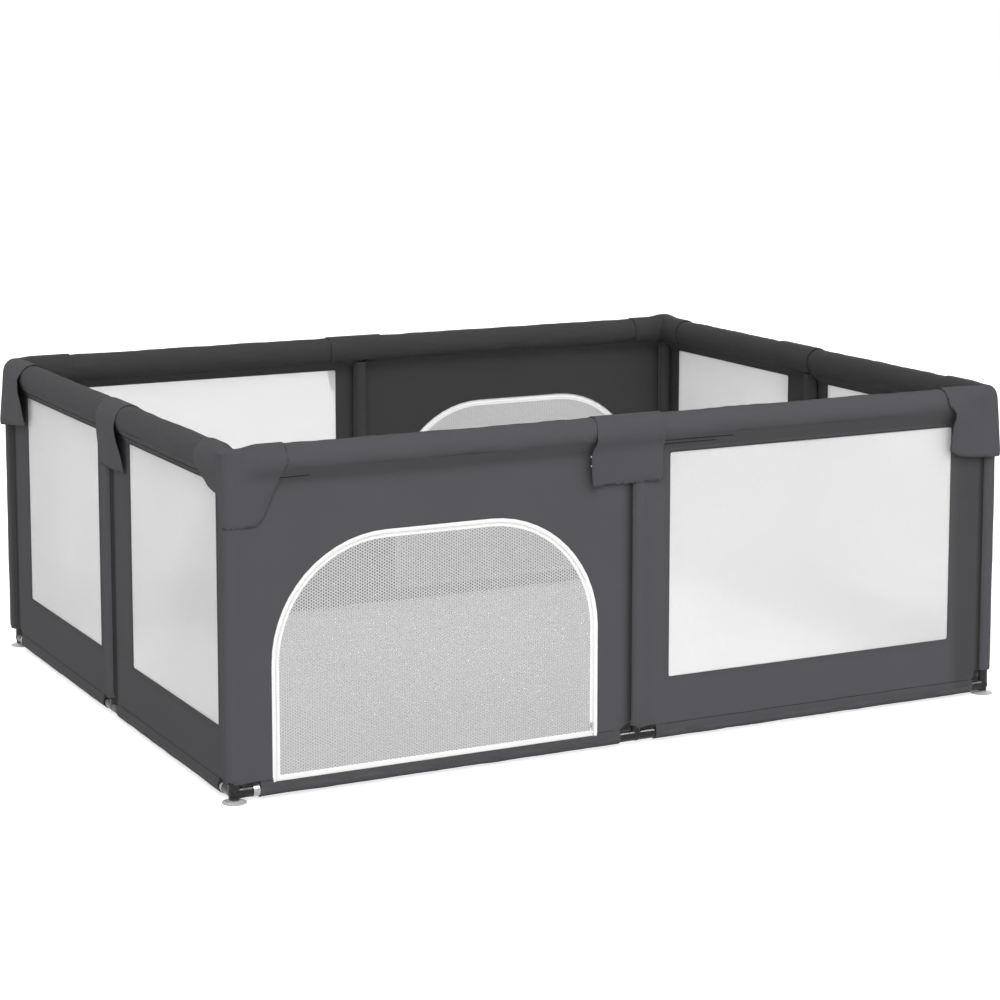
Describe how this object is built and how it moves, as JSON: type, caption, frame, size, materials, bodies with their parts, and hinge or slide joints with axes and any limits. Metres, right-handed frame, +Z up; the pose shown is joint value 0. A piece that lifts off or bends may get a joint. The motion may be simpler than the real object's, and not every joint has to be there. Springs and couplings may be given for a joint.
{
  "type": "playpen",
  "caption": "Rectangular fabric playpen with a padded top rail, netting windows, arched zip doors and suction-cup feet.",
  "frame": {"origin": "on the floor, under the middle of the pen", "axes": "+X along the long sides, +Y from the front to the back, +Z up"},
  "size_m": [1.787, 1.417, 0.673],
  "materials": {
    "tube": "bright zinc-plated",
    "connector": "glossy black",
    "cup": "clear soft plastic",
    "foam": "soft closed-cell foam",
    "cover": "dark grey woven fabric",
    "cap": "dark grey padded fabric",
    "netting": "fine open netting",
    "trim": "white woven tape",
    "zip_metal": "plated"
  },
  "bodies": {
    "frame": {"back_doorway_tape": "trim", "bottom_corner_back_left": "connector", "bottom_corner_back_right": "connector", "bottom_corner_front_left": "connector", "bottom_corner_front_right": "connector", "bottom_rails_back": "tube", "bottom_rails_front": "tube", "bottom_rails_left": "tube", "bottom_rails_right": "tube", "bottom_tee_back": "connector", "bottom_tee_front": "connector", "bottom_tee_left": "connector", "bottom_tee_right": "connector", "corner_cap_back_left": "cap", "corner_cap_back_right": "cap", "corner_cap_front_left": "cap", "corner_cap_front_right": "cap", "corner_posts": "tube", "cover_back_door": "cover", "cover_back_window": "cover", "cover_front_door": "cover", "cover_front_window": "cover", "cover_left_front": "cover", "cover_left_rear": "cover", "cover_right_front": "cover", "cover_right_rear": "cover", "front_doorway_tape": "trim", "middle_caps": "cap", "middle_posts": "tube", "rail_foam": "foam", "suction_cup_back_left": "cup", "suction_cup_back_right": "cup", "suction_cup_front_left": "cup", "suction_cup_front_right": "cup", "top_corner_back_left": "connector", "top_corner_back_right": "connector", "top_corner_front_left": "connector", "top_corner_front_right": "connector", "top_rails_back": "tube", "top_rails_front": "tube", "top_rails_left": "tube", "top_rails_right": "tube", "top_tees": "connector", "window_netting_back": "netting", "window_netting_front": "netting", "window_netting_left": "netting", "window_netting_right": "netting"},
    "front_door": {"front_door_netting": "netting", "front_door_border": "trim"},
    "front_zip_slider": {"front_zip_slider": "zip_metal"},
    "front_zip_pull": {"front_zip_pull": "zip_metal"},
    "back_door": {"back_door_netting": "netting", "back_door_border": "trim"},
    "back_zip_slider": {"back_zip_slider": "zip_metal"},
    "back_zip_pull": {"back_zip_pull": "zip_metal"},
    "front_flap": {"cap_flap_front": "cap"},
    "right_flap": {"cap_flap_right": "cap"},
    "back_flap": {"cap_flap_back": "cap"},
    "left_flap": {"cap_flap_left": "cap"}
  },
  "joints": [
    {"name": "front_door_hinge", "type": "hinge", "parent": "frame", "child": "front_door", "pos_m": [-0.44, -0.683, 0.03239], "axis": [1, 0, 0], "range_deg": [0, 90]},
    {"name": "front_zip_slide", "type": "slide", "parent": "front_door", "child": "front_zip_slider", "axis": [0, 0, 1], "range_m": [0, 0.19]},
    {"name": "front_pull_swing", "type": "hinge", "parent": "front_zip_slider", "child": "front_zip_pull", "pos_m": [-0.1056, -0.68908, 0.05664], "axis": [-1, 0, 0], "range_deg": [0, 120]},
    {"name": "back_door_hinge", "type": "hinge", "parent": "frame", "child": "back_door", "pos_m": [0.44, 0.683, 0.03239], "axis": [-1, 0, 0], "range_deg": [0, 90]},
    {"name": "back_zip_slide", "type": "slide", "parent": "back_door", "child": "back_zip_slider", "axis": [0, 0, 1], "range_m": [0, 0.19]},
    {"name": "back_pull_swing", "type": "hinge", "parent": "back_zip_slider", "child": "back_zip_pull", "pos_m": [0.1056, 0.68908, 0.05664], "axis": [1, 0, 0], "range_deg": [0, 120]},
    {"name": "front_flap_hinge", "type": "hinge", "parent": "frame", "child": "front_flap", "pos_m": [-0.034, -0.707, 0.6377], "axis": [-1, 0, 0], "range_deg": [0, 90]},
    {"name": "right_flap_hinge", "type": "hinge", "parent": "frame", "child": "right_flap", "pos_m": [0.892, 0.038, 0.6377], "axis": [0, -1, 0], "range_deg": [0, 90]},
    {"name": "back_flap_hinge", "type": "hinge", "parent": "frame", "child": "back_flap", "pos_m": [-0.012, 0.707, 0.6377], "axis": [1, 0, 0], "range_deg": [0, 90]},
    {"name": "left_flap_hinge", "type": "hinge", "parent": "frame", "child": "left_flap", "pos_m": [-0.892, -0.062, 0.6377], "axis": [0, 1, 0], "range_deg": [0, 90]}
  ]
}
